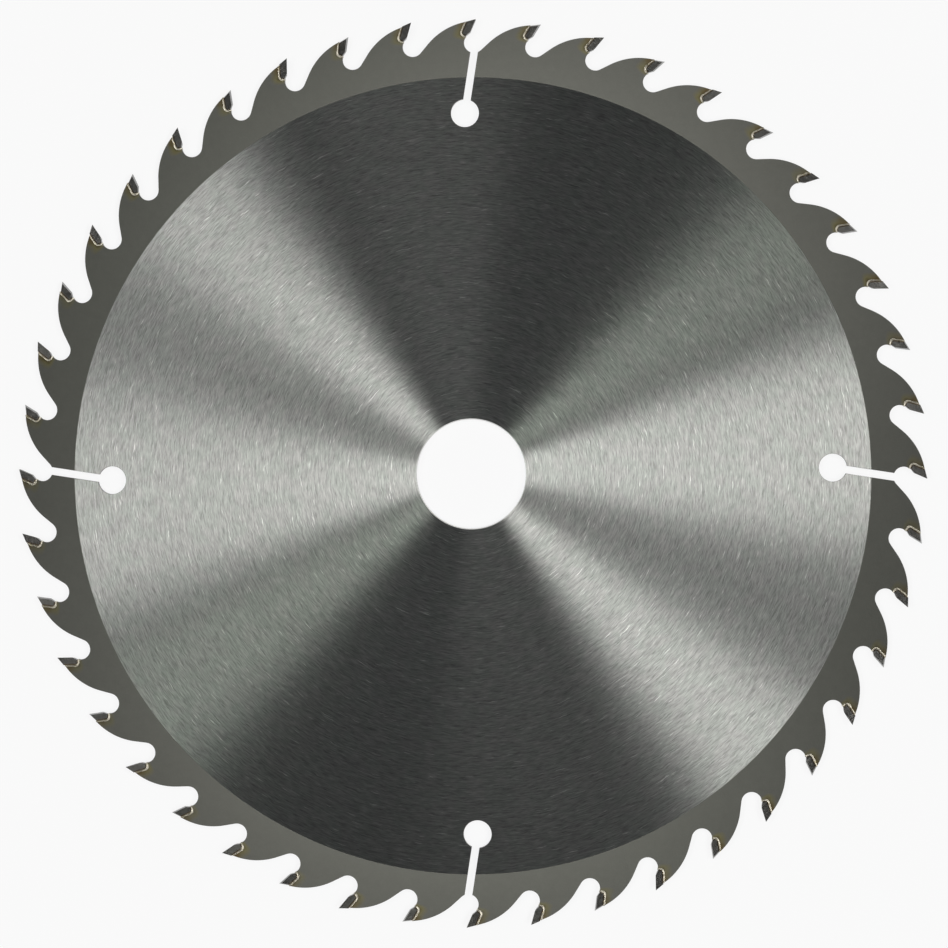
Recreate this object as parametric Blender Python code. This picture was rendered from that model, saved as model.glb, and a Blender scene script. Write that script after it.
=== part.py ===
"""Carbide-tipped circular saw blade, lying flat.

One laser-cut steel plate carries a ring of brazed tips. The origin is on the bore's axis, halfway
through the plate, and +Z is that axis. Seen from +Z the teeth point clockwise. All sizes are in
metres and all angles in degrees.

A tooth's own frame has its origin at the tooth's point, on the cutting circle: x is forward, along
the cut, y is outward, and z is the blade's axis.
"""

import math

import bmesh
import bpy
from mathutils import Matrix, Vector

# Blade
CUTTING_DIAMETER = 0.250
PLATE_THICKNESS = 0.0018
KERF = 0.0028
BORE_DIAMETER = 0.030
BORE_CHAMFER = 0.00025
TEETH = 44
FIRST_TOOTH_ANGLE = 7.575

# Grind: left and right bevels take turns, and the last tooth of each group is a flat raker
TEETH_PER_GROUP = 11
HOOK_ANGLE = 22.8
TOP_CLEARANCE = 15.0
TOP_BEVEL = 11.0
FACE_BEVEL = 5.0
RADIAL_RELIEF = 1.0
TANGENTIAL_RELIEF = 3.0
RAKER_DROP = 0.0002

# Carbide tip
TIP_THICKNESS = 0.0021
TIP_FACE_LENGTH = 0.00405
TIP_CHAMFER_LENGTH = 0.00175
TIP_CHAMFER_ANGLE = 27.0
TIP_CORNER_RADIUS = 0.0009
GRINDING_ALLOWANCE = 0.001

# Seat and tooth back
BRAZE_GAP = 0.00035
BACK_STEP = 0.0002
BACK_SLOPE = 12.0
BACK_RADIUS = 0.0177
HEEL_SLOPE = 43.0

# Gullet
GULLET_DEPTH = 0.0094
GULLET_RADIUS = 0.0028
GULLET_SETBACK = 0.00048

# Expansion slots, one from the gullet of each raker
SLOT_WIDTH = 0.0021
SLOT_TILT = 8.0
SLOT_HOLE_DIAMETER = 0.0077
SLOT_HOLE_CIRCLE_DIAMETER = 0.1982

# Smoothness of the curves, and how far a cutter reaches past what it cuts
CORNER_STEPS = 4
GULLET_STEPS = 12
BACK_STEPS = 8
SLOT_HOLE_STEPS = 24
BORE_STEPS = 72
CUTTER_OVERSHOOT = 0.001
SHARP_ANGLE = 25.0

PITCH = math.radians(360 / TEETH)
DOWN_FACE = Vector((-math.sin(math.radians(HOOK_ANGLE)), -math.cos(math.radians(HOOK_ANGLE))))
INTO_TIP = Vector((-math.cos(math.radians(HOOK_ANGLE)), math.sin(math.radians(HOOK_ANGLE))))


def heading(angle):
    return Vector((math.cos(angle), math.sin(angle)))


def tooth_matrix(tooth):
    """Carries a tooth's own frame to the blade's."""
    angle = math.radians(FIRST_TOOTH_ANGLE) + tooth * PITCH
    turn = Matrix.Rotation(angle - math.pi / 2, 4, "Z")
    return turn @ Matrix.Translation((0, CUTTING_DIAMETER / 2, 0))


def seen_from_tooth(point, teeth_back):
    """A point of the tooth that lies some pitches behind, in this tooth's own frame."""
    blade_centre = Vector((0, -CUTTING_DIAMETER / 2))
    return blade_centre + Matrix.Rotation(teeth_back * PITCH, 2) @ (point - blade_centre)


def crossing(point_a, along_a, point_b, along_b):
    """Where two straight lines meet."""
    gap = point_b - point_a
    return point_a + along_a * (gap.cross(along_b) / along_a.cross(along_b))


def line_into_circle(point, along, centre, radius):
    """Where a line first meets a circle, or the place where it passes closest."""
    nearest = (centre - point).dot(along)
    offset = (centre - point - along * nearest).length
    return point + along * (nearest - math.sqrt(max(0, radius**2 - offset**2)))


def arc(centre, radius, start, end, steps):
    return [centre + radius * heading(start + (end - start) * i / steps) for i in range(steps + 1)]


def rounded(before, corner, after, radius, steps):
    """The corner of two straight edges as an arc, no longer than the shorter edge allows."""
    back = before - corner
    ahead = after - corner
    half = back.angle(ahead) / 2
    reach = min(radius / math.tan(half), back.length, ahead.length)
    bisector = (back.normalized() + ahead.normalized()).normalized()
    centre = corner + bisector * reach / math.cos(half)
    start = corner + back.normalized() * reach - centre
    turn = start.angle_signed(corner + ahead.normalized() * reach - centre)
    first = math.atan2(start.y, start.x)
    # angle_signed counts clockwise turns as positive
    return arc(centre, start.length, first, first - turn, steps)


def tip_lines(offset):
    """The foot of the tip's chamfer, the corner behind it and the rear edge's top, all moved outward."""
    chamfer = math.radians(TIP_CHAMFER_ANGLE)
    along_chamfer = DOWN_FACE * math.cos(chamfer) + INTO_TIP * math.sin(chamfer)
    face_foot = DOWN_FACE * TIP_FACE_LENGTH
    chamfer_end = face_foot + along_chamfer * TIP_CHAMFER_LENGTH
    height = chamfer_end.dot(DOWN_FACE) + offset
    depth = TIP_THICKNESS + offset
    floor_start = DOWN_FACE * height + INTO_TIP * chamfer_end.dot(INTO_TIP)
    corner = DOWN_FACE * height + INTO_TIP * depth
    top = crossing(corner, DOWN_FACE, Vector((0, 0)), heading(math.radians(TOP_CLEARANCE)))
    return face_foot, along_chamfer, floor_start, corner, top


def tip_blank_outline():
    """The tip before grinding: a block too tall by the allowance, with too much in front of its face."""
    face_foot, along_chamfer, floor_start, corner, _ = tip_lines(0)
    front_foot = face_foot - along_chamfer * GRINDING_ALLOWANCE
    above = -DOWN_FACE * GRINDING_ALLOWANCE
    front_top = crossing(front_foot, DOWN_FACE, above, INTO_TIP)
    rear_top = crossing(corner, DOWN_FACE, above, INTO_TIP)
    rear = rounded(floor_start, corner, rear_top, TIP_CORNER_RADIUS, CORNER_STEPS)
    return [front_top, front_foot, floor_start, *rear, rear_top]


def tooth_outline():
    """One tooth of the plate, from the foot of its back, clockwise to the end of its gullet."""
    gullet = Vector((-GULLET_SETBACK, GULLET_RADIUS - GULLET_DEPTH))
    heel_angle = math.radians(HEEL_SLOPE)
    heel_foot = gullet + GULLET_RADIUS * heading(heel_angle - math.pi / 2)

    _, _, floor_start, corner, top = tip_lines(BRAZE_GAP)
    seat_top = top + DOWN_FACE * BACK_STEP
    seat_mouth = line_into_circle(corner, -INTO_TIP, gullet, GULLET_RADIUS)
    seat = rounded(seat_top, corner, seat_mouth, TIP_CORNER_RADIUS + BRAZE_GAP, CORNER_STEPS)

    heel_foot_behind = seen_from_tooth(heel_foot, 1)
    ridge = crossing(
        heel_foot_behind,
        heading(heel_angle + PITCH),
        seat_top,
        heading(math.radians(BACK_SLOPE)),
    )
    back = rounded(heel_foot_behind, ridge, seat_top, BACK_RADIUS, BACK_STEPS)

    mouth_angle = math.atan2(*(seat_mouth - gullet).yx) % (2 * math.pi)
    floor = arc(gullet, GULLET_RADIUS, mouth_angle, heel_angle + 1.5 * math.pi, GULLET_STEPS)
    return [*back, seat_top, *seat, *floor]


def without_repeats(points):
    return [p for p, before in zip(points, points[-1:] + points[:-1]) if (p - before).length > 1e-6]


def plate_outline():
    """Counter-clockwise round the blade, so each tooth's points run backwards."""
    tooth = [p.to_3d() for p in reversed(without_repeats(tooth_outline()))]
    return [tooth_matrix(k) @ p for k in range(TEETH) for p in tooth]


def prism(name, outline, thickness):
    """A flat outline, given counter-clockwise, made a plate centred on z = 0."""
    bm = bmesh.new()
    face = bm.faces.new([bm.verts.new((p.x, p.y, -thickness / 2)) for p in outline])
    raised = bmesh.ops.extrude_face_region(bm, geom=[face])["geom"]
    top_corners = [v for v in raised if isinstance(v, bmesh.types.BMVert)]
    bmesh.ops.translate(bm, verts=top_corners, vec=(0, 0, thickness))
    return finished(name, bm)


def finished(name, bm):
    bmesh.ops.recalc_face_normals(bm, faces=bm.faces)
    mesh = bpy.data.meshes.new(name)
    bm.to_mesh(mesh)
    bm.free()
    mesh.shade_smooth()
    mesh.set_sharp_from_angle(angle=math.radians(SHARP_ANGLE))
    return mesh


def add_object(name, mesh, material=None):
    obj = bpy.data.objects.new(name, mesh)
    bpy.context.scene.collection.objects.link(obj)
    if material and not mesh.materials:
        mesh.materials.append(material)
    return obj


def metal(name, colour, roughness, metallic):
    material = bpy.data.materials.new(name)
    material.use_nodes = True
    shader = material.node_tree.nodes["Principled BSDF"]
    shader.inputs["Base Color"].default_value = (*colour, 1)
    shader.inputs["Roughness"].default_value = roughness
    shader.inputs["Metallic"].default_value = metallic
    material.diffuse_color = (*colour, 1)
    return material


def cut(obj, name, cutter_mesh):
    cutter = add_object(name, cutter_mesh)
    cutter.hide_render = True
    cutter.display_type = "WIRE"
    modifier = obj.modifiers.new(name, "BOOLEAN")
    modifier.operation = "DIFFERENCE"
    modifier.object = cutter


def bore_mesh():
    """A bar of the bore's size, opening into a cone at each face of the plate."""
    radius = BORE_DIAMETER / 2
    half = PLATE_THICKNESS / 2
    wide = BORE_CHAMFER + CUTTER_OVERSHOOT
    profile = [
        (0, -half - CUTTER_OVERSHOOT),
        (radius + wide, -half - CUTTER_OVERSHOOT),
        (radius, -half + BORE_CHAMFER),
        (radius, half - BORE_CHAMFER),
        (radius + wide, half + CUTTER_OVERSHOOT),
        (0, half + CUTTER_OVERSHOOT),
    ]
    bm = bmesh.new()
    corners = [bm.verts.new((x, 0, z)) for x, z in profile]
    edges = [bm.edges.new(pair) for pair in zip(corners, corners[1:])]
    bmesh.ops.spin(
        bm,
        geom=corners + edges,
        axis=(0, 0, 1),
        cent=(0, 0, 0),
        angle=2 * math.pi,
        steps=BORE_STEPS,
    )
    bmesh.ops.remove_doubles(bm, verts=bm.verts, dist=1e-6)
    return finished("bore_cutter", bm)


def slot_mesh(tooth):
    """A keyhole: a slot from the gullet's floor, slanting back to a round hole further in."""
    tilt = math.radians(SLOT_TILT)
    inward = Vector((-math.sin(tilt), -math.cos(tilt)))
    mouth = Vector((-GULLET_SETBACK, -GULLET_DEPTH))
    blade_centre = Vector((0, -CUTTING_DIAMETER / 2))
    hole = line_into_circle(mouth, inward, blade_centre, SLOT_HOLE_CIRCLE_DIAMETER / 2)
    radius = SLOT_HOLE_DIAMETER / 2
    half_mouth = math.asin(min(1, SLOT_WIDTH / SLOT_HOLE_DIAMETER))
    outward_angle = math.pi / 2 - tilt
    rim = arc(
        hole,
        radius,
        outward_angle + half_mouth,
        outward_angle + 2 * math.pi - half_mouth,
        SLOT_HOLE_STEPS,
    )
    reach = mouth - inward * GULLET_RADIUS
    across = Vector((-inward.y, inward.x)) * SLOT_WIDTH / 2
    outline = [*rim, reach + across, reach - across]
    matrix = tooth_matrix(tooth)
    return prism(
        f"slot_cutter_{tooth + 1:02d}",
        [matrix @ p.to_3d() for p in outline],
        PLATE_THICKNESS + 2 * CUTTER_OVERSHOOT,
    )


def ground_tip(name, high_side):
    """A tip ground on its sides, top and face. high_side is 1 or -1 for a bevel, 0 for a raker."""
    bm = bmesh.new()
    mesh = prism(name, reversed(tip_blank_outline()), KERF + 2 * GRINDING_ALLOWANCE)
    bm.from_mesh(mesh)
    bpy.data.meshes.remove(mesh)
    point = Vector((0, 0, high_side * KERF / 2))
    side_slope = (
        -math.tan(math.radians(TANGENTIAL_RELIEF)),
        -math.tan(math.radians(RADIAL_RELIEF)),
    )
    top_tilt = high_side * math.tan(math.radians(TOP_BEVEL))
    face_tilt = high_side * math.tan(math.radians(FACE_BEVEL))
    clearance = math.tan(math.radians(TOP_CLEARANCE))
    drop = Vector((0, 0 if high_side else -RAKER_DROP, 0))
    cuts = (
        (Vector((0, 0, KERF / 2)), (*side_slope, 1)),
        (Vector((0, 0, -KERF / 2)), (*side_slope, -1)),
        (point + drop, (-clearance, 1, -top_tilt)),
        (point, (*-INTO_TIP, -face_tilt)),
    )
    for place, outward in cuts:
        parts = bmesh.ops.bisect_plane(
            bm,
            geom=bm.verts[:] + bm.edges[:] + bm.faces[:],
            plane_co=place,
            plane_no=outward,
            clear_outer=True,
        )["geom_cut"]
        rim = [part for part in parts if isinstance(part, bmesh.types.BMEdge)]
        bmesh.ops.edgeloop_fill(bm, edges=rim)
    return finished(name, bm)


def is_raker(tooth):
    return tooth % TEETH_PER_GROUP == TEETH_PER_GROUP - 1


def high_side_of(tooth):
    if is_raker(tooth):
        return 0
    return 1 if tooth % TEETH_PER_GROUP % 2 == 0 else -1


def build_plate():
    steel = metal("saw_steel", (0.17, 0.17, 0.155), 0.42, 1.0)
    plate = add_object("saw_body", prism("saw_body", plate_outline(), PLATE_THICKNESS), steel)
    cut(plate, "bore_cutter", bore_mesh())
    for tooth in filter(is_raker, range(TEETH)):
        cut(plate, f"slot_cutter_{tooth + 1:02d}", slot_mesh(tooth))


def build_tips():
    carbide = metal("tungsten_carbide", (0.055, 0.052, 0.052), 0.5, 0.6)
    names = {1: "tip_high_above", -1: "tip_high_below", 0: "tip_raker"}
    meshes = {side: ground_tip(name, side) for side, name in names.items()}
    for tooth in range(TEETH):
        tip = add_object(f"carbide_tip_{tooth + 1:02d}", meshes[high_side_of(tooth)], carbide)
        matrix = tooth_matrix(tooth)
        tip.location = matrix.translation
        tip.rotation_euler = matrix.to_euler()


def clear_scene():
    for obj in list(bpy.data.objects):
        bpy.data.objects.remove(obj)


clear_scene()
build_plate()
build_tips()
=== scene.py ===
import math

import bpy
import numpy as np
from mathutils import Matrix, Vector
from mathutils.geometry import delaunay_2d_cdt


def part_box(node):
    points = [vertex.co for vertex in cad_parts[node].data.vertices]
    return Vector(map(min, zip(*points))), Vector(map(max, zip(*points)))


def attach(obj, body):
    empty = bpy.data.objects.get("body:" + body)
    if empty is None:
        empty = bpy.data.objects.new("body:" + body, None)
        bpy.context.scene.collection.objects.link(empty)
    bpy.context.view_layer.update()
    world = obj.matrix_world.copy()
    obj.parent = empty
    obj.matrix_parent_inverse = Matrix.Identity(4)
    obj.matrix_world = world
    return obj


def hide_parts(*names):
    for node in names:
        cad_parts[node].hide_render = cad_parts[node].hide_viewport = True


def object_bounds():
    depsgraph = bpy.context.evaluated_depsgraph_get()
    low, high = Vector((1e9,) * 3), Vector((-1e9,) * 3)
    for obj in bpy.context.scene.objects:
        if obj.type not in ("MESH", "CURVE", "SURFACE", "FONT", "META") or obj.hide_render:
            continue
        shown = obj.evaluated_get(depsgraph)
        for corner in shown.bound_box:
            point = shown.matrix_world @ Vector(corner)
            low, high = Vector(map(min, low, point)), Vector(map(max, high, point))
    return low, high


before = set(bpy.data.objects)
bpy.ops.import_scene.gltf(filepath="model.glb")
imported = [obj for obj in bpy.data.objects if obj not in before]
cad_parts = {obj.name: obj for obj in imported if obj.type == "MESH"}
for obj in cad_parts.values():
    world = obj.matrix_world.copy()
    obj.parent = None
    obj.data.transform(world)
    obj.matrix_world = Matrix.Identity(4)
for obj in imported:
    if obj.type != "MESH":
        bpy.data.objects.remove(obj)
cadBox = [list(corner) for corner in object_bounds()]

mm = 0.001  # shapes are worked out in millimetres, and meshes hold metres

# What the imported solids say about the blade
tipNodes = sorted(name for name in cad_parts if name.startswith("carbide_tip"))
toothCount = len(tipNodes)
pitch = 2 * math.pi / toothCount
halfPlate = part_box("saw_body")[1].z / mm
halfKerf = max(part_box(name)[1].z for name in tipNodes) / mm
floorHeight = cadBox[0][2]


def nodePoints(name):
    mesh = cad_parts[name].data
    flat = np.empty(len(mesh.vertices) * 3, np.float32)
    mesh.vertices.foreach_get("co", flat)
    return flat.reshape(-1, 3) / mm


cutRadius = max(np.hypot(*nodePoints(name).T[:2]).max() for name in tipNodes)
print(f"frame: {toothCount} teeth on a circle of {2 * cutRadius:.2f} mm")

# The tooth's form, in millimetres and degrees, as the solids have it
tooth = {
    "firstAngle": 7.575,
    "teethPerGroup": 11,
    "hookAngle": 22.8,
    "topClearance": 15.0,
    "topBevel": 11.0,
    "faceBevel": 5.0,
    "radialRelief": 1.0,
    "tangentialRelief": 3.0,
    "rakerDrop": 0.2,
    "tipThickness": 2.1,
    "tipFaceLength": 4.05,
    "tipChamferLength": 1.75,
    "tipChamferAngle": 27.0,
    "tipCornerRadius": 0.9,
    "brazeGap": 0.35,
    "backStep": 0.2,
    "backSlope": 12.0,
    "backRadius": 17.7,
    "heelSlope": 43.0,
    "gulletDepth": 9.4,
    "gulletRadius": 2.8,
    "gulletSetback": 0.48,
}
firstAngle = math.radians(tooth["firstAngle"])

# Points in the blade's plane are complex numbers: x is the real part, and a turn is a product


def heading(degrees):
    return np.exp(1j * np.radians(degrees))


def unit(vector):
    return vector / np.abs(vector)


def dot(a, b):
    return (np.conj(a) * b).real


def cross(a, b):
    return (np.conj(a) * b).imag


def crossing(pointA, alongA, pointB, alongB):
    # along the first line by the ratio of two cross products
    return pointA + alongA * cross(pointB - pointA, alongB) / cross(alongA, alongB)


def lineIntoCircle(point, along, centre, radius):
    # to the foot of the centre's perpendicular, less half of the chord
    nearest = dot(centre - point, along)
    offset = abs(centre - point - along * nearest)
    return point + along * (nearest - math.sqrt(max(0, radius**2 - offset**2)))


def arc(centre, start, turn, steps):
    # the start swung about the centre in equal steps
    return centre + (start - centre) * np.exp(1j * turn * np.linspace(0, 1, steps + 1))


def roundedCorner(before, corner, after, radius, steps):
    # the circle that touches both edges, its reach no longer than the shorter edge
    back = before - corner
    ahead = after - corner
    half = abs(np.angle(ahead / back)) / 2
    reach = min(radius / math.tan(half), abs(back), abs(ahead))
    centre = corner + unit(unit(back) + unit(ahead)) * reach / math.cos(half)
    start = corner + unit(back) * reach
    end = corner + unit(ahead) * reach
    return arc(centre, start, np.angle((end - centre) / (start - centre)), steps)


def movedSideways(loop, distance):
    # each corner goes along the sum of its edges' normals until both edges have moved that far
    arriving = -1j * unit(loop - np.roll(loop, 1))
    both = arriving + np.roll(arriving, -1)
    return loop + distance * 2 * both / np.abs(both) ** 2


def onBlade(points, k):
    # from tooth k's own frame, x along the cut and y outward from its point, to the blade's
    return (points + 1j * cutRadius) * np.exp(1j * (firstAngle + k * pitch - math.pi / 2))


downFace = heading(-90 - tooth["hookAngle"])
intoTip = heading(180 - tooth["hookAngle"])
bladeCentre = -1j * cutRadius


def tipLines(offset):
    # the tip's side view, with the floor and the rear moved outward by the offset
    alongChamfer = downFace * heading(-tooth["tipChamferAngle"])
    faceFoot = downFace * tooth["tipFaceLength"]
    chamferEnd = faceFoot + alongChamfer * tooth["tipChamferLength"]
    height = dot(chamferEnd, downFace) + offset
    floorStart = downFace * height + intoTip * dot(chamferEnd, intoTip)
    corner = downFace * height + intoTip * (tooth["tipThickness"] + offset)
    top = crossing(corner, downFace, 0, heading(tooth["topClearance"]))
    return faceFoot, alongChamfer, floorStart, corner, top


def isRaker(k):
    return k % tooth["teethPerGroup"] == tooth["teethPerGroup"] - 1


def highSide(k):
    # the side of the blade that the tooth's point is on, 0 for a raker
    if isRaker(k):
        return 0
    return 1 if k % tooth["teethPerGroup"] % 2 == 0 else -1


def addMesh(name, points, faces, materials, zones=None, sharpAngle=12.0):
    mesh = bpy.data.meshes.new(name)
    mesh.from_pydata((points * mm).tolist(), [], faces)
    for material in materials:
        mesh.materials.append(material)
    if zones is not None:
        mesh.polygons.foreach_set("material_index", np.asarray(zones, np.int32))
    mesh.shade_smooth()
    mesh.set_sharp_from_angle(angle=math.radians(sharpAngle))
    piece = bpy.data.objects.new(name, mesh)
    bpy.context.scene.collection.objects.link(piece)
    return piece


def raised(points, heights):
    return np.stack([points.real, points.imag, np.broadcast_to(heights, points.shape)], axis=-1)


def bandFaces(rows, count, starts, ends):
    # four-sided faces from each row of points to the next, over every edge from starts to ends
    bands = np.arange(rows - 1)[:, None] * count
    corners = [bands + starts, bands + count + starts, bands + count + ends, bands + ends]
    return np.stack(corners, -1).reshape(-1, 4)


class Wire:
    # one socket of a material: sums, products and powers of wires and numbers become Math nodes
    def __init__(self, tree, socket=None):
        self.tree = tree
        self.socket = socket

    def node(self, kind, settings=(), inputs=(), output=0):
        made = self.tree.nodes.new(kind)
        for name, value in dict(settings).items():
            if name == "stops":
                ramp = made.color_ramp.elements
                for position, colour in value[1:-1]:
                    ramp.new(position)
                for element, (position, colour) in zip(ramp, value):
                    element.position = position
                    element.color = (*colour, 1)
            else:
                setattr(made, name, value)
        for place, value in dict(inputs).items():
            if isinstance(value, Wire):
                self.tree.links.new(value.socket, made.inputs[place])
            else:
                made.inputs[place].default_value = value
        return Wire(self.tree, made.outputs[output])

    def maths(self, operation, *values):
        return self.node("ShaderNodeMath", {"operation": operation}, enumerate(values))

    def __add__(self, other):
        return self.maths("ADD", self, other)

    def __radd__(self, other):
        return self.maths("ADD", other, self)

    def __sub__(self, other):
        return self.maths("SUBTRACT", self, other)

    def __rsub__(self, other):
        return self.maths("SUBTRACT", other, self)

    def __mul__(self, other):
        return self.maths("MULTIPLY", self, other)

    def __rmul__(self, other):
        return self.maths("MULTIPLY", other, self)

    def __truediv__(self, other):
        return self.maths("DIVIDE", self, other)

    def __rtruediv__(self, other):
        return self.maths("DIVIDE", other, self)

    def __pow__(self, other):
        return self.maths("POWER", self, other)

    def between(self, low, high):
        # 0 below low, 1 above high, an S curve in between; high may be the lower one
        return self.node(
            "ShaderNodeMapRange",
            {"interpolation_type": "SMOOTHSTEP"},
            {"Value": self, "From Min": low, "From Max": high},
        )

    def blended(self, *colours):
        # the first colour where this is 0, and the second where it is 1
        low, high = (colour if isinstance(colour, Wire) else (*colour, 1) for colour in colours)
        return self.node("ShaderNodeMix", {"data_type": "RGBA"}, {0: self, 6: low, 7: high}, 2)

    def scaled(self, colour):
        # a colour, stronger or weaker by this number
        return self.node("ShaderNodeVectorMath", {"operation": "SCALE"}, {0: colour, "Scale": self})

    def multiplied(self, colour):
        # this colour times another, channel by channel
        return self.node("ShaderNodeVectorMath", {"operation": "MULTIPLY"}, {0: self, 1: colour})

    def ramp(self, stops):
        return self.node("ShaderNodeValToRGB", {"stops": stops}, {0: self})

    def vector(self, x, y, z):
        return self.node("ShaderNodeCombineXYZ", (), {0: x, 1: y, 2: z})

    def split(self):
        # the x, y and z of this vector
        made = self.node("ShaderNodeSeparateXYZ", (), {0: self}).socket.node
        return [Wire(self.tree, output) for output in made.outputs]

    def noise(self, place, scale, detail=2.0, roughness=0.5):
        return self.node(
            "ShaderNodeTexNoise",
            (),
            {"Vector": place, "Scale": scale, "Detail": detail, "Roughness": roughness},
        )

    def bump(self, height, distance):
        return self.node("ShaderNodeBump", (), {"Height": height, "Distance": distance * mm})


def startMaterial(name):
    material = bpy.data.materials.new(name)
    material.use_nodes = True
    tree = material.node_tree
    return material, Wire(tree), tree.nodes["Principled BSDF"]


def plug(wire, shader, **values):
    # a name in camelCase is the shader's socket of the same words
    for name, value in values.items():
        words = "".join(f" {letter}" if letter.isupper() else letter for letter in name).title()
        socket = shader.inputs[words.replace("Ior", "IOR")]
        if isinstance(value, Wire):
            wire.tree.links.new(value.socket, socket)
        else:
            socket.default_value = value


def bladePlace(wire):
    # the point in millimetres, and its three coordinates
    place = wire.node("ShaderNodeTexCoord", output="Object")
    place = wire.node("ShaderNodeVectorMath", {"operation": "SCALE"}, {0: place, "Scale": 1 / mm})
    return place, *place.split()


def axisDistance(x, y):
    return (x * x + y * y) ** 0.5


def ringGrain(wire, x, y, radius, finish, kind):
    # noise on a steep cone: it changes over the length along the circle, and over the width across
    length, width, seed = (finish[kind + part] for part in ("Length", "Width", "Seed"))
    return wire.noise(wire.vector(x / length, y / length, radius / width + seed), 1.0)


def toothPlace(wire, x, y, shift=0.0):
    # the point in its tooth's own frame, and the tooth's number; the shift, a share of a pitch,
    # moves the range that counts as one tooth's counter-clockwise
    radius = axisDistance(x, y)
    turns = (wire.maths("ARCTAN2", y, x) - firstAngle) * (1 / pitch)
    number = wire.maths("ROUND", turns - shift)
    local = (turns - number) * pitch
    along = radius * wire.maths("SINE", local) * -1
    outward = radius * wire.maths("COSINE", local) - cutRadius
    return along, outward, number


def toothChance(number):
    # one random number for all of a tooth, 0 to 1
    return number.node("ShaderNodeTexWhiteNoise", {"noise_dimensions": "1D"}, {"W": number})


# The tip's two brazed edges, from its corner; the shift keeps all of a tooth's heat in its range
seam = {"rearLength": 3.6, "floorLength": 1.0, "rangeShift": 0.22}


def seamDistance(wire, along, outward):
    # distance from the tip's rear and floor edges, as two straight stretches
    corner = tipLines(0)[3]
    distances = []
    for direction, length in ((-downFace, seam["rearLength"]), (-intoTip, seam["floorLength"])):
        aside = along - corner.real
        up = outward - corner.imag
        run = aside * direction.real + up * direction.imag
        run = wire.maths("MINIMUM", wire.maths("MAXIMUM", run, 0.0), length)
        gapX = aside - run * direction.real
        gapY = up - run * direction.imag
        distances.append((gapX * gapX + gapY * gapY) ** 0.5)
    return wire.maths("MINIMUM", *distances)


# The disc inside the border, ground in rings
ringGround = {
    "colour": (0.432, 0.436, 0.413),
    "greenTint": (0.975, 1.0, 0.975),
    "pinkTint": (1.0, 0.991, 0.988),
    "tintScale": 0.22,
    "tintLimits": (0.4, 0.6),
    "roughness": 0.28,
    "roughnessChange": 0.01,
    "anisotropy": 1.0,
    "anisotropyTurn": 0.25,
    "scratchLength": 3.4,
    "scratchWidth": 0.27,
    "scratchSeed": 0.0,
    "scratchContrast": 1.3,
    "scratchDepth": 0.01,
    "grainLength": 1.6,
    "grainWidth": 0.16,
    "grainSeed": 31.0,
    "grainContrast": 0.8,
    "brightLength": 5.0,
    "brightWidth": 0.25,
    "brightSeed": 67.0,
    "brightLimits": (0.65, 0.76),
    "brightContrast": 1.15,
    "wander": 0.7,
    "wanderScale": 0.45,
    "mostTone": 2.25,
    "outerLoss": 0.0022,
    "evenRadius": 60.0,
}


def ringGroundSteel():
    material, wire, shader = startMaterial("ring_ground_steel")
    place, x, y, _ = bladePlace(wire)
    radius = axisDistance(x, y)
    finish = ringGround
    # the scratches cross each other a little, since each one wanders off its circle
    wandering = radius + (wire.noise(place, finish["wanderScale"]) - 0.5) * finish["wander"]
    kinds = ("scratch", "grain", "bright")
    scratches, grain, bright = (ringGrain(wire, x, y, wandering, finish, kind) for kind in kinds)
    bright = bright.between(*finish["brightLimits"])
    tone = 1 + (scratches - 0.5) * finish["scratchContrast"]
    tone = tone + (grain - 0.5) * finish["grainContrast"] + bright * finish["brightContrast"]
    tone = tone * (1 + (finish["evenRadius"] - radius) * finish["outerLoss"])
    tone = wire.maths("MINIMUM", tone, finish["mostTone"])
    tint = wire.noise(place, finish["tintScale"]).between(*finish["tintLimits"])
    colour = tint.blended(finish["greenTint"], finish["pinkTint"]).multiplied(finish["colour"])
    plug(
        wire,
        shader,
        baseColor=tone.scaled(colour),
        metallic=1.0,
        roughness=finish["roughness"] + (scratches - 0.5) * finish["roughnessChange"],
        anisotropic=finish["anisotropy"],
        anisotropicRotation=finish["anisotropyTurn"],
        normal=wire.bump(scratches, finish["scratchDepth"]),
    )
    return material


# The rim outside the border, blasted, and tinted by the heat of the brazing
blasted = {
    "colour": (0.158, 0.158, 0.139),
    "roughness": 0.52,
    "roughnessChange": 0.12,
    "anisotropy": 0.6,
    "grainNoise": (1 / 0.35, 3.0, 0.6),  # scale, detail and roughness
    "grainContrast": 0.22,
    "grainDepth": 0.02,
    "cloudNoise": (0.5, 3.0),
    "cloudContrast": 0.12,
    "outerLoss": 0.012,
    "evenRadius": 113.0,
    # the heat's tints by their share of its reach, from the seam outward
    "heatTints": (
        (0.0, (0.55, 0.42, 0.24)),
        (0.12, (0.93, 0.80, 0.45)),
        (0.26, (1.25, 1.13, 0.67)),
        (0.45, (1.14, 1.07, 0.84)),
        (0.7, (1.0, 0.99, 1.02)),
        (1.0, (1.0, 1.0, 1.0)),
    ),
    "heatReach": 3.8,
    "heatUnevenness": 1.4,
    "leastHeat": 0.5,
    "coolHeights": (-4.6, -7.0),
    "coolLoss": 1.6,
    "scorch": (0.105, 0.072, 0.036),
    "scorchStrength": 0.8,
    "scorchUnevenness": 2.0,
    "scorchLimits": (2.6, 0.4),
    "scorchHeights": (-4.2, -1.6),
}


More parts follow.
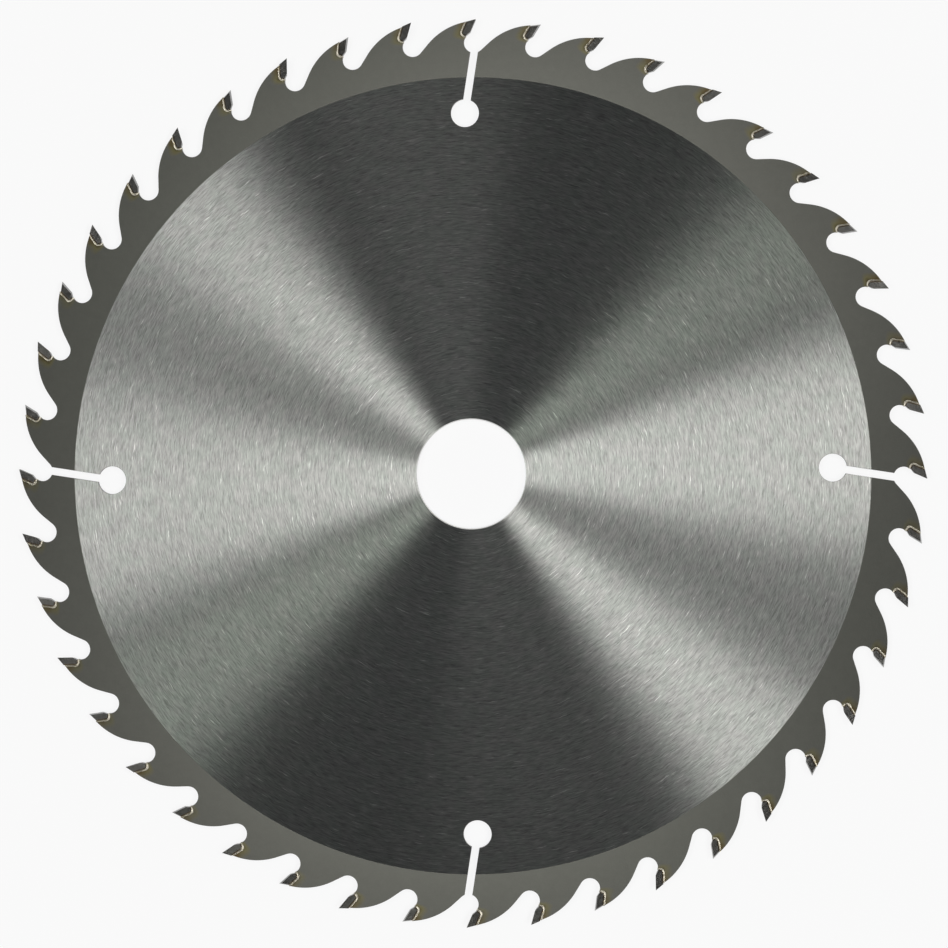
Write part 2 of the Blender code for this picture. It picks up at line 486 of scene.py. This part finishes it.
def blastedSteel():
    material, wire, shader = startMaterial("blasted_steel")
    place, x, y, _ = bladePlace(wire)
    finish = blasted
    along, outward, number = toothPlace(wire, x, y, seam["rangeShift"])
    cloud = wire.noise(place, *finish["cloudNoise"])
    distance = seamDistance(wire, along, outward) + (cloud - 0.5) * finish["heatUnevenness"]
    # the heat reaches further up the back than below the seat
    distance = distance + outward.between(*finish["coolHeights"]) * finish["coolLoss"]
    heat = (distance * (1 / finish["heatReach"])).ramp(finish["heatTints"])
    strength = finish["leastHeat"] + toothChance(number) * (1 - finish["leastHeat"])
    scorch = distance + (cloud - 0.5) * finish["scorchUnevenness"]
    scorch = scorch.between(*finish["scorchLimits"]) * outward.between(*finish["scorchHeights"])
    grain = wire.noise(place, *finish["grainNoise"])
    tone = 1 + (grain - 0.5) * finish["grainContrast"] + (cloud - 0.5) * finish["cloudContrast"]
    tone = tone - (axisDistance(x, y) - finish["evenRadius"]) * finish["outerLoss"]
    colour = tone.scaled(finish["colour"])
    colour = strength.blended(colour, colour.multiplied(heat))
    colour = (scorch * strength * finish["scorchStrength"]).blended(colour, finish["scorch"])
    plug(
        wire,
        shader,
        baseColor=colour,
        metallic=1.0,
        roughness=finish["roughness"] + (grain - 0.5) * finish["roughnessChange"],
        anisotropic=finish["anisotropy"],
        normal=wire.bump(grain, finish["grainDepth"]),
    )
    return material


# The laser-cut walls of the outline and slots, and the bore with its chamfers, turned and brighter
cutWall = {"colour": (0.16, 0.155, 0.15), "roughness": 0.45, "lineWidth": 0.12}
boreWall = {"colour": (0.74, 0.74, 0.72), "roughness": 0.28, "lineWidth": 0.08}
edgeLines = {"stretch": 0.12, "contrast": 0.5, "depth": 0.02, "roughnessChange": 0.2}


def edgeSteel(name, finish):
    # lines that run through the plate, from noise that is stretched along its thickness
    material, wire, shader = startMaterial(name)
    _, x, y, z = bladePlace(wire)
    lines = wire.noise(wire.vector(x, y, z * edgeLines["stretch"]), 1 / finish["lineWidth"])
    tone = 1 + (lines - 0.5) * edgeLines["contrast"]
    plug(
        wire,
        shader,
        baseColor=tone.scaled(finish["colour"]),
        metallic=1.0,
        roughness=finish["roughness"] + (lines - 0.5) * edgeLines["roughnessChange"],
        normal=wire.bump(lines, edgeLines["depth"]),
    )
    return material


# The carbide, ground on its sides, top and face
carbide = {
    "colour": (0.112, 0.109, 0.101),
    "toothContrast": 0.5,
    "contrast": 0.3,
    "roughness": 0.3,
    "roughnessChange": 0.04,
    "grindLength": 4.0,
    "grindWidth": 0.09,
    "grindSeed": 5.0,
    "grindDepth": 0.04,
    "grindLean": 8.0,
    "pitNoise": (6.0, 3.0, 0.7),
    "pitDepth": 0.1,
    "fringe": (0.075, 0.055, 0.032),
    "fringeLimits": (0.5, 0.1),
    "fringeUnevenness": 0.25,
}


def groundCarbide():
    material, wire, shader = startMaterial("ground_carbide")
    place, x, y, _ = bladePlace(wire)
    finish = carbide
    along, outward, number = toothPlace(wire, x, y)
    marks = ringGrain(wire, x, y, axisDistance(x, y), finish, "grind")
    pits = wire.noise(place, *finish["pitNoise"])
    tone = 1 + (toothChance(number) - 0.5) * finish["toothContrast"]
    tone = tone + (marks + pits - 1) * finish["contrast"]
    fringe = seamDistance(wire, along, outward) + (pits - 0.5) * finish["fringeUnevenness"]
    fringe = fringe.between(*finish["fringeLimits"])
    # the shine leans towards the cut, by a steady slope under the marks
    slope = math.tan(math.radians(finish["grindLean"])) / finish["grindDepth"]
    height = marks + pits * finish["pitDepth"] - along * slope
    plug(
        wire,
        shader,
        baseColor=fringe.blended(tone.scaled(finish["colour"]), finish["fringe"]),
        metallic=1.0,
        roughness=finish["roughness"] + (pits - 0.5) * finish["roughnessChange"],
        normal=wire.bump(height, finish["grindDepth"]),
    )
    return material


# The silver solder of the seams
solder = {
    "colour": (0.56, 0.52, 0.43),
    "stain": (0.33, 0.285, 0.17),
    "stainNoise": (1.3, 3.0, 0.6),
    "stainLimits": (0.52, 0.82),
    "stainHeights": (-5.6, -1.5),
    "stainRise": 0.11,
    "roughness": 0.36,
    "roughnessChange": 0.3,
    "grainScale": 7.0,
    "grainDepth": 0.05,
}


def silverSolder():
    material, wire, shader = startMaterial("silver_solder")
    place, x, y, _ = bladePlace(wire)
    finish = solder
    _, outward, _ = toothPlace(wire, x, y, seam["rangeShift"])
    cloud = wire.noise(place, *finish["stainNoise"])
    grain = wire.noise(place, finish["grainScale"])
    # cleaner at the seat's corner, and browner up the rear edge
    stain = cloud + outward.between(*finish["stainHeights"]) * finish["stainRise"]
    stain = stain.between(*finish["stainLimits"])
    plug(
        wire,
        shader,
        baseColor=stain.blended(finish["colour"], finish["stain"]),
        metallic=1.0,
        roughness=finish["roughness"] + (grain - 0.5) * finish["roughnessChange"],
        normal=wire.bump(grain, finish["grainDepth"]),
    )
    return material


# The plate: its outline, the border between its two finishes, and its edges
plate = {
    "slotWidth": 2.1,
    "slotTilt": 8.0,
    "slotHole": 7.7,
    "slotHoleCircle": 198.2,
    "bore": 30.0,
    "boreChamfer": 0.25,
    "borderRadius": 109.5,
    "borderCentre": 0.05 - 0.62j,
    "borderDepth": 0.02,
    "borderWidth": 0.06,
    "edgeBreak": 0.06,
    "edgeSteps": 3,
    "backSteps": 24,
    "seatSteps": 10,
    "gulletSteps": 36,
    "holeSteps": 48,
    "boreSteps": 240,
    "borderSteps": 480,
    "leastEdge": 1e-4,
    "weldDistance": 1e-6,
}


def toothOutline(slotted):
    # one tooth of the plate, clockwise from the foot of its back to the end of its gullet
    reach = tooth["gulletRadius"]
    gullet = complex(-tooth["gulletSetback"], reach - tooth["gulletDepth"])
    heelFoot = gullet + reach * heading(tooth["heelSlope"] - 90)
    corner, top = tipLines(tooth["brazeGap"])[3:]
    seatTop = top + downFace * tooth["backStep"]
    seatMouth = lineIntoCircle(corner, -intoTip, gullet, reach)
    seat = roundedCorner(
        seatTop, corner, seatMouth, tooth["tipCornerRadius"] + tooth["brazeGap"], plate["seatSteps"]
    )
    footBehind = bladeCentre + (heelFoot - bladeCentre) * np.exp(1j * pitch)
    ridge = crossing(
        footBehind,
        heading(tooth["heelSlope"]) * np.exp(1j * pitch),
        seatTop,
        heading(tooth["backSlope"]),
    )
    back = roundedCorner(footBehind, ridge, seatTop, tooth["backRadius"], plate["backSteps"])
    stops = [seatMouth, *slotWall(gullet, reach), heelFoot]
    if slotted:
        floor = [
            gulletArc(gullet, stops[0], stops[1]),
            slotHole(),
            gulletArc(gullet, stops[2], stops[3]),
        ]
    else:
        floor = [gulletArc(gullet, stops[0], stops[3])]
    return np.concatenate([back, [seatTop], seat, *floor])


def gulletArc(gullet, start, end):
    turn = np.angle((end - gullet) / (start - gullet)) % (2 * math.pi)
    steps = max(4, round(plate["gulletSteps"] * turn / (2 * math.pi)))
    return arc(gullet, start, turn, steps)


slotInward = heading(-90 - plate["slotTilt"])
slotMouth = complex(-tooth["gulletSetback"], -tooth["gulletDepth"])


def slotWall(gullet, reach):
    # where the slot's two walls leave the gullet's circle
    across = 1j * slotInward
    sides = dot(slotMouth - gullet, across) + np.array([-0.5, 0.5]) * plate["slotWidth"]
    return gullet + sides * across + np.sqrt(reach**2 - sides**2) * slotInward


def slotHole():
    centre = lineIntoCircle(slotMouth, slotInward, bladeCentre, plate["slotHoleCircle"] / 2)
    halfMouth = math.asin(plate["slotWidth"] / plate["slotHole"])
    start = centre - slotInward * plate["slotHole"] / 2 * np.exp(1j * halfMouth)
    return arc(centre, start, 2 * (math.pi - halfMouth), plate["holeSteps"])


def circle(centre, radius, steps):
    return centre + radius * np.exp(2j * math.pi * np.arange(steps) / steps)


def plateOutline():
    # clockwise teeth one after another, turned round, without points that repeat
    loop = np.concatenate([onBlade(toothOutline(isRaker(k))[::-1], k) for k in range(toothCount)])
    return loop[np.abs(loop - np.roll(loop, 1)) > plate["leastEdge"]]


def plateFace():
    # triangles between the outline and the bore, with the border's two circles kept as edges
    half = plate["borderWidth"] / 2
    loops = (
        movedSideways(plateOutline(), -plate["edgeBreak"]),
        circle(0, plate["bore"] / 2 + plate["boreChamfer"], plate["boreSteps"]),
        circle(plate["borderCentre"], plate["borderRadius"] - half, plate["borderSteps"]),
        circle(plate["borderCentre"], plate["borderRadius"] + half, plate["borderSteps"]),
    )
    ends = np.cumsum([0, *map(len, loops)])
    rings = [list(range(start, end)) for start, end in zip(ends, ends[1:])]
    flat = np.concatenate(loops)
    pairs = [Vector(pair) for pair in zip(flat.real, flat.imag)]
    found = delaunay_2d_cdt(pairs, [], rings, 0, plate["weldDistance"])
    corners, _, triangles, _, _, inside = found
    kept = [i for i, loopsRound in enumerate(inside) if 0 in loopsRound and 1 not in loopsRound]
    zones = np.array([0 if 2 in inside[i] else 1 for i in kept])
    points = np.array([complex(*corner) for corner in corners])
    return points, np.array([triangles[i] for i in kept]), zones


def borderEdges(triangles, count):
    # the directed edges that no neighbour runs the other way
    starts = triangles.ravel()
    ends = np.roll(triangles, -1, axis=1).ravel()
    lone = ~np.isin(starts * count + ends, ends * count + starts)
    return starts[lone], ends[lone]


def sawPlate(materials):
    points, triangles, zones = plateFace()
    count = len(points)
    starts, ends = borderEdges(triangles, count)
    normals = -1j * unit(points[ends] - points[starts])
    leaving = np.zeros(count, complex)
    arriving = np.zeros(count, complex)
    leaving[starts] = normals
    arriving[ends] = normals
    both = leaving + arriving
    squared = np.abs(both) ** 2
    mitre = np.divide(2 * both, squared, out=np.zeros(count, complex), where=squared > 0)

    # the ground disc lies lower than the rim, by a slope as wide as the border
    outside = np.abs(points - plate["borderCentre"]) - plate["borderRadius"]
    share = np.clip(0.5 - outside / plate["borderWidth"], 0, 1)
    heights = halfPlate - plate["borderDepth"] * share

    # the edge profile: a quarter round on the outline, a straight chamfer at the bore
    atBore = np.abs(points) < plate["bore"]
    size = np.where(atBore, plate["boreChamfer"], plate["edgeBreak"])
    rings = []
    for step in range(plate["edgeSteps"] + 1):
        turn = step / plate["edgeSteps"]
        out = np.where(atBore, turn, math.sin(turn * math.pi / 2)) * size
        drop = np.where(atBore, turn, 1 - math.cos(turn * math.pi / 2)) * size
        rings.append(raised(points + mitre * out, heights - drop))
    rings += [ring * (1, 1, -1) for ring in reversed(rings)]

    quads = bandFaces(len(rings), count, starts, ends)
    under = triangles[:, ::-1] + (len(rings) - 1) * count
    vertices = np.concatenate(rings)
    faces = [*triangles, *under, *quads]
    wallZones = np.where(atBore[starts], 3, 2)
    zones = np.concatenate([zones, zones, np.tile(wallZones, len(rings) - 1)])
    used = np.unique(np.concatenate([np.ravel(face) for face in faces]))
    order = np.zeros(len(vertices), int)
    order[used] = np.arange(len(used))
    faces = [order[face].tolist() for face in faces]
    return addMesh("saw_plate", vertices[used], faces, materials, zones)


# The tips: plane-ground, with the faintest break along their side edges
tipGrind = {"edgeBreak": 0.025, "cornerSteps": 10, "rounds": 4}


def tipOutline(z, side):
    # counter-clockwise corners of the tip at heights z, one height for each corner
    highPoint = side * halfKerf
    drop = 0 if side else -tooth["rakerDrop"]
    faceShift = side * math.tan(math.radians(tooth["faceBevel"])) * (z - highPoint)
    topShift = side * math.tan(math.radians(tooth["topBevel"])) * (z - highPoint) + drop
    onFace = -intoTip * faceShift
    onTop = 1j * topShift
    alongTop = heading(tooth["topClearance"])
    faceFoot, alongChamfer, floorStart, corner, rearTop = tipLines(0)
    radius = tooth["tipCornerRadius"]
    rear = roundedCorner(floorStart, corner, rearTop, radius, tipGrind["cornerSteps"])
    points = np.array([0, faceFoot, floorStart, *rear, rearTop])
    points[0] = crossing(onFace[0], downFace, onTop[0], alongTop)
    points[1] = crossing(onFace[1], downFace, faceFoot, alongChamfer)
    points[-1] = crossing(corner, downFace, onTop[-1], alongTop)
    return points


def tipHalfWidth(points):
    # half of the kerf at the point, less to the rear and towards the blade's centre
    return (
        halfKerf
        + points.real * math.tan(math.radians(tooth["tangentialRelief"]))
        + points.imag * math.tan(math.radians(tooth["radialRelief"]))
    )


def tipSide(sign, side):
    # the outline where the side plane cuts it, found in a few rounds, since each needs the other
    z = np.full(2, sign * halfKerf)
    for _ in range(tipGrind["rounds"]):
        points = tipOutline(z, side)
        z = sign * tipHalfWidth(points)
    return points[::-1], z[::-1]


def groundTip(k, material):
    # four rows of corners down the tip: upper side, its broken edge, the lower one, lower side
    side = highSide(k)
    size = tipGrind["edgeBreak"]
    rows = []
    for sign in (1, -1):
        points, z = tipSide(sign, side)
        inner = movedSideways(points, -size)
        flat = raised(onBlade(inner, k), sign * tipHalfWidth(inner))
        edge = raised(onBlade(points, k), z - sign * size)
        rows += [flat, edge][::sign]
    count = len(rows[0])
    here = np.arange(count)
    quads = bandFaces(len(rows), count, here, np.roll(here, -1))
    under = here[::-1] + (len(rows) - 1) * count
    faces = [here.tolist(), under.tolist(), *quads.tolist()]
    return addMesh(f"ground_tip_{k + 1:02d}", np.concatenate(rows), faces, [material])


# The solder: a hollow fillet on each side of the plate, and between them what fills the seat's gap
braze = {
    "filletWidth": 0.43,
    "filletSteps": 6,
    "cornerSwell": 0.12,
    "swellRange": (0.3, 1.2),
    "swellPlace": 0.3,
    "swellReach": 0.16,
    "unevenness": 0.07,
    "sink": 0.05,
    "belowTip": 0.04,
    "underTip": 0.05,
    "abovePlate": 0.004,
    "intoPlate": 0.02,
    "intoSeat": 0.06,
    "overrun": 0.12,
    "endTaper": 9,
    "endShrink": 0.1,
    "bendSteps": 12,
    "spacing": 0.14,
    "widthWaves": 5,
    "topWaves": 4,
    "waveStretch": 1.5,
    "sharpAngle": 40.0,
    "seed": 7,
}


def seamPath():
    # along the tip's floor from the gullet, round its corner and up its rear edge, evenly spaced
    corner, top = tipLines(0)[3:]
    reach = tooth["gulletRadius"]
    gullet = complex(-tooth["gulletSetback"], reach - tooth["gulletDepth"])
    seatCorner = tipLines(tooth["brazeGap"])[3]
    mouth = lineIntoCircle(seatCorner, -intoTip, gullet, reach) - downFace * tooth["brazeGap"]
    end = top + downFace * (tooth["backStep"] + braze["overrun"])
    bend = roundedCorner(mouth, corner, end, tooth["tipCornerRadius"], braze["bendSteps"])
    rough = np.array([mouth - intoTip * braze["overrun"], *bend, end])
    run = np.concatenate([[0], np.cumsum(np.abs(np.diff(rough)))])
    even = np.linspace(0, run[-1], round(run[-1] / braze["spacing"]))
    path = np.interp(even, run, rough.real) + 1j * np.interp(even, run, rough.imag)
    tangent = unit(np.gradient(path))
    return path, 1j * tangent, even / run[-1]


def wobble(random, count, waves):
    # a few cosines of random height and phase, about -1 to 1
    t = np.linspace(0, 2 * math.pi, count)
    heights = random.uniform(-1, 1, waves) / np.sqrt(np.arange(1, waves + 1))
    phases = random.uniform(0, 2 * math.pi, waves)
    pairs = enumerate(zip(heights, phases), 1)
    return sum(h * np.cos(i * t / braze["waveStretch"] + p) for i, (h, p) in pairs)


def seamSections(width, top, t):
    # from under the tip down a hollow fillet to the plate, then into the seat, and mirrored below
    seat = np.ones((len(width), 1))
    fillet = width[:, None] * t - braze["underTip"] * (1 - t)
    slope = halfPlate + braze["abovePlate"] + (top[:, None] - halfPlate) * (1 - t) ** 2
    across = np.concatenate([fillet, seat * (tooth["brazeGap"] + braze["intoPlate"])], 1)
    height = np.concatenate([slope, seat * (halfPlate - braze["intoSeat"])], 1)
    across = np.concatenate([across, across[:, ::-1]], 1)
    height = np.concatenate([height, -height[:, ::-1]], 1)
    return across, height


def brazeSeams(material):
    # the sections carried along the path of each tooth, smaller at its two ends
    random = np.random.default_rng(braze["seed"])
    path, outward, share = seamPath()
    count = len(path)
    gap = tooth["brazeGap"]
    rise = tipHalfWidth(path) - braze["belowTip"]
    ends = np.minimum(1, np.minimum(share, 1 - share) * braze["endTaper"])
    swell = np.exp(-(((share - braze["swellPlace"]) / braze["swellReach"]) ** 2))
    shrink = np.where(ends < 1, 1 - braze["endShrink"] * (1 - ends), 1)[:, None]
    t = np.linspace(0, 1, braze["filletSteps"] + 1)
    allPoints, allFaces = [], []
    for k in range(toothCount):
        width = braze["filletWidth"]
        width = width + braze["cornerSwell"] * swell * random.uniform(*braze["swellRange"])
        width = width + braze["unevenness"] * wobble(random, count, braze["widthWaves"])
        width = gap + (width - gap) * ends
        top = rise - np.abs(braze["sink"] * (1 + wobble(random, count, braze["topWaves"])))
        across, height = seamSections(width, top, t)
        across = gap / 2 + (across - gap / 2) * shrink
        flat = path[:, None] + outward[:, None] * across
        points = raised(onBlade(flat, k), height * shrink)
        size = points.shape[1]
        grid = np.arange(count * size).reshape(count, size) + len(allPoints) * count * size
        ahead = np.roll(grid, -1, axis=1)
        quads = np.stack([grid[:-1], grid[1:], ahead[1:], ahead[:-1]], -1).reshape(-1, 4)
        allPoints.append(points.reshape(-1, 3))
        allFaces += [*quads.tolist(), grid[0].tolist(), grid[-1][::-1].tolist()]
    points = np.concatenate(allPoints)
    return addMesh("braze_seams", points, allFaces, [material], sharpAngle=braze["sharpAngle"])


def addPieces():
    carbideMaterial = groundCarbide()
    walls = [edgeSteel("laser_cut_steel", cutWall), edgeSteel("turned_bore_steel", boreWall)]
    body = sawPlate([ringGroundSteel(), blastedSteel(), *walls])
    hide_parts("saw_body")
    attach(body, "root")
    print(f"plate: {len(body.data.polygons)} faces")
    for k, node in enumerate(tipNodes):
        tip = groundTip(k, carbideMaterial)
        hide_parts(node)
        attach(tip, "root")
    print(f"tips: {len(tipNodes)}")
    seams = brazeSeams(silverSolder())
    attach(seams, "root")
    print(f"seams: {len(seams.data.polygons)} faces")


# The studio: soft boxes by azimuth, zenith angle and width in degrees, and a pale sweep
studio = {
    "lampDistance": 3.0,
    "lampHeight": 0.6,
    "lampZenith": 33.0,
    "lamps": (
        # name, azimuth, half width, radiance, colour
        ("key_right", 4.2, 16.0, 11.6, (1.0, 1.0, 1.0)),
        ("key_left", 185.0, 16.0, 6.6, (1.0, 1.0, 1.0)),
        ("low_right", 37.8, 8.6, 2.9, (0.93, 1.0, 0.92)),
        ("low_left", 214.8, 9.2, 3.9, (0.93, 1.0, 0.92)),
        ("side_left", 139.7, 9.1, 6.1, (1.0, 1.0, 1.0)),
        ("side_right", 313.2, 9.1, 11.7, (1.0, 1.0, 1.0)),
        ("back_left", 159.8, 10.6, 3.1, (1.0, 1.0, 1.0)),
        ("back_right", 335.0, 10.5, 1.8, (1.0, 1.0, 1.0)),
        ("top_fill", 102.0, 14.0, 0.9, (1.0, 1.0, 1.0)),
    ),
    "roomLight": 0.082,
    "roomColour": (0.925, 0.95, 1.0),
    "backdropTop": 0.3,
    "backdropEdge": 0.18,
    "floorColour": (0.88, 0.88, 0.88),
    "floorRoughness": 0.9,
    "floorShare": 0.12,
    "floorSize": 12.0,
}


def addLamp(name, azimuth, halfWidth, radiance, colour):
    # a rectangle that faces the blade, as wide as the azimuths that it fills
    distance = studio["lampDistance"]
    zenith = studio["lampZenith"]
    level = distance * math.sin(math.radians(zenith))
    lamp = bpy.data.lights.new(name, "AREA")
    lamp.shape = "RECTANGLE"
    lamp.size = 2 * level * math.tan(math.radians(halfWidth))
    lamp.size_y = studio["lampHeight"]
    lamp.energy = radiance * math.pi * lamp.size * lamp.size_y
    lamp.color = colour
    holder = bpy.data.objects.new(name, lamp)
    bpy.context.scene.collection.objects.link(holder)
    flat = heading(azimuth) * level
    holder.location = (flat.real, flat.imag, distance * math.cos(math.radians(zenith)))
    holder.rotation_euler = (math.radians(zenith), 0, math.radians(azimuth + 90))


def seenDirectly(wire):
    # 1 for camera, mirror and glass rays, which see a white backdrop, and 0 for the light on things
    path = wire.node("ShaderNodeLightPath").socket.node
    kinds = ("Camera", "Glossy", "Transmission")
    rays = [Wire(wire.tree, path.outputs[f"Is {kind} Ray"]) for kind in kinds]
    return wire.maths("MINIMUM", rays[0] + rays[1] + rays[2], 1.0)


def addFloor():
    half = studio["floorSize"] / 2
    corners = [(-half, -half), (half, -half), (half, half), (-half, half)]
    mesh = bpy.data.meshes.new("floor")
    mesh.from_pydata([(x, y, floorHeight) for x, y in corners], [], [(0, 1, 2, 3)])
    floor = bpy.data.objects.new("floor", mesh)
    bpy.context.scene.collection.objects.link(floor)
    material, wire, shader = startMaterial("pale_floor")
    tree = wire.tree
    colour = (*studio["floorColour"], 1)
    plug(wire, shader, baseColor=colour, roughness=studio["floorRoughness"], specularIorLevel=0.0)
    white = wire.node("ShaderNodeEmission", (), {"Color": (1, 1, 1, 1), "Strength": 1.0})
    lit = Wire(tree, shader.outputs[0])
    share = seenDirectly(wire) * (1 - studio["floorShare"])
    mixed = wire.node("ShaderNodeMixShader", (), {0: share, 1: lit, 2: white})
    tree.links.new(mixed.socket, tree.nodes["Material Output"].inputs["Surface"])
    mesh.materials.append(material)


def addWorld():
    world = bpy.data.worlds.new("studio_room")
    world.use_nodes = True
    bpy.context.scene.world = world
    tree = world.node_tree
    wire = Wire(tree)
    up = wire.node("ShaderNodeTexCoord", output="Generated").split()[2]
    # white near the horizon, and the room's own light above it
    backdrop = seenDirectly(wire) * up.between(studio["backdropTop"], studio["backdropEdge"])
    level = wire.node("ShaderNodeMix", (), {0: backdrop, 2: studio["roomLight"], 3: 1.0})
    colour = backdrop.blended(studio["roomColour"], (1, 1, 1))
    tree.links.new(level.socket, tree.nodes["Background"].inputs["Strength"])
    tree.links.new(colour.socket, tree.nodes["Background"].inputs["Color"])


# The camera, as the photograph: nearly straight above, a little right of the axis
view = {
    "place": (0.0357, 0.0085, 0.969),
    "bladeCentrePixel": (471.33, 473.91),
    "imageSize": 948,
    "pixelAtBlade": 0.27497 * mm,
    "sensorWidth": 36.0,
    "clipStart": 0.01,
}


def addCamera():
    camera = bpy.data.cameras.new("camera")
    place = Vector(view["place"])
    middle = view["imageSize"] / 2
    offset = Vector((middle - view["bladeCentrePixel"][0], view["bladeCentrePixel"][1] - middle, 0))
    target = offset * view["pixelAtBlade"]
    camera.sensor_width = view["sensorWidth"]
    camera.lens = place.length / view["pixelAtBlade"] * camera.sensor_width / view["imageSize"]
    camera.clip_start = view["clipStart"]
    holder = bpy.data.objects.new("camera", camera)
    bpy.context.scene.collection.objects.link(holder)
    holder.location = place
    backward = (place - target).normalized()
    right = Vector((0, 1, 0)).cross(backward).normalized()
    axes = (right, backward.cross(right), backward)
    holder.rotation_euler = Matrix(axes).transposed().to_euler()
    bpy.context.scene.camera = holder


addPieces()
for lampRow in studio["lamps"]:
    addLamp(*lampRow)
addFloor()
addWorld()
addCamera()
bpy.context.scene.view_settings.view_transform = "Standard"
print("studio: lamps, floor, world and camera")
